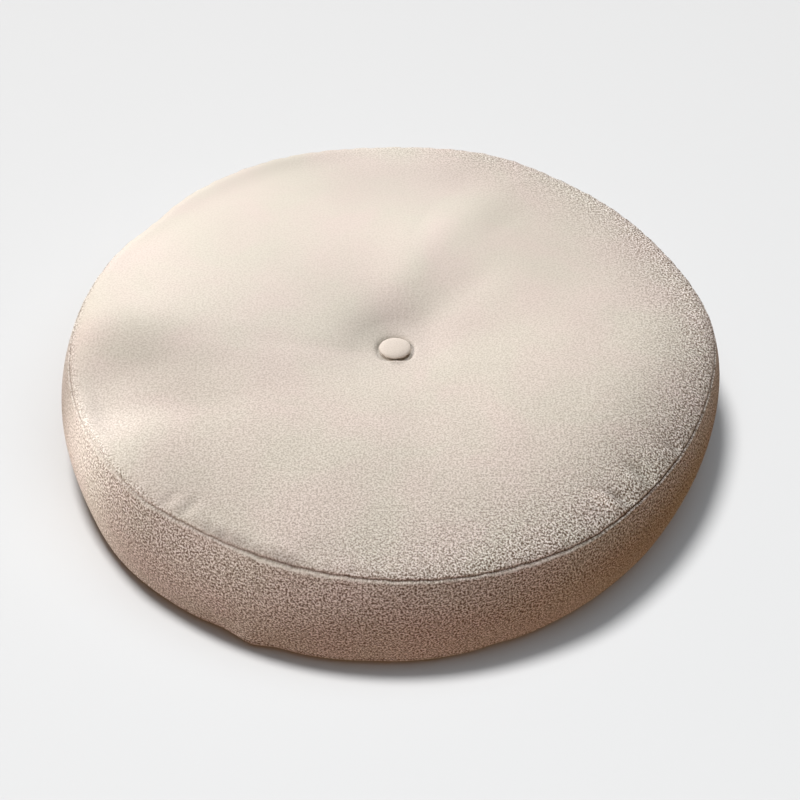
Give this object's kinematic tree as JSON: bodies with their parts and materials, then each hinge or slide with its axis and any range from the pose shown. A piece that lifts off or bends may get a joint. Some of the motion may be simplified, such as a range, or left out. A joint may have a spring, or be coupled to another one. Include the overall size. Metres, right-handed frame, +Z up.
{
  "type": "round floor cushion",
  "caption": "Low round floor cushion: domed round top panel, plain-seamed side band and flat bottom, drawn in at the middle by one covered button, with soft creases.",
  "frame": {"origin": "on the floor, under the middle of the cushion's box", "axes": "+Z up through the button, -Y towards the front; the soft crease from the button runs to the back right, +X and +Y"},
  "size_m": [0.516, 0.517, 0.1153],
  "materials": {
    "pale_cloth": "matt pebbly woven cloth, cream beige",
    "button_cloth": "smooth matt woven cloth, pale cream"
  },
  "bodies": {
    "root": {"cushion": "pale_cloth", "button": "button_cloth"}
  },
  "joints": []
}
